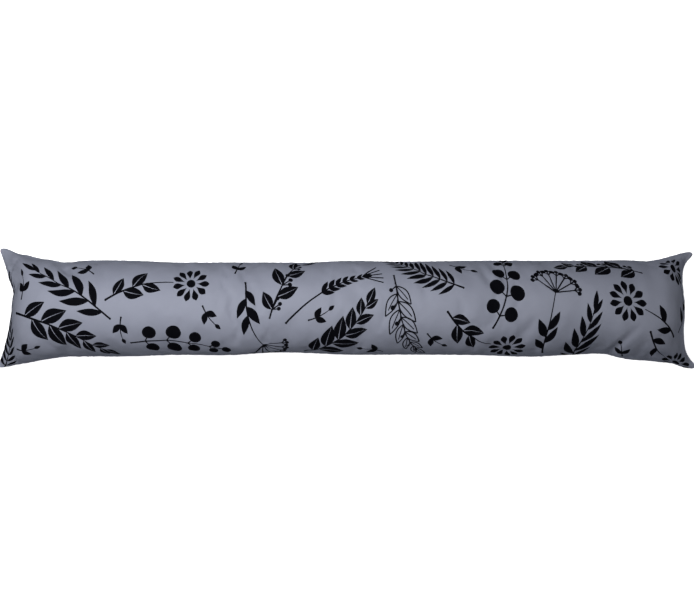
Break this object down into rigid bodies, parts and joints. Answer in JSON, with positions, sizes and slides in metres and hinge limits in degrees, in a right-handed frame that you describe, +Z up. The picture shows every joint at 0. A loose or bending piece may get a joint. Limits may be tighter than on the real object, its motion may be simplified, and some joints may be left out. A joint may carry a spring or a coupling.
{
  "type": "draught excluder",
  "caption": "Long stuffed fabric cushion with drawn-in sides and thin ears at its corners, laid along the foot of a door to keep draughts out.",
  "frame": {"origin": "on the surface that the cushion rests on, under the middle of its bounding box", "axes": "+X along the cushion, +Y across it towards the upper side seam of the picture, +Z up, out of the printed face"},
  "size_m": [0.9, 0.1538, 0.1013],
  "materials": {
    "cover_cloth": "smooth grey polyester cloth, matt with a faint sheen, printed in black on the face"
  },
  "bodies": {
    "root": {"cushion": "cover_cloth"}
  },
  "joints": []
}
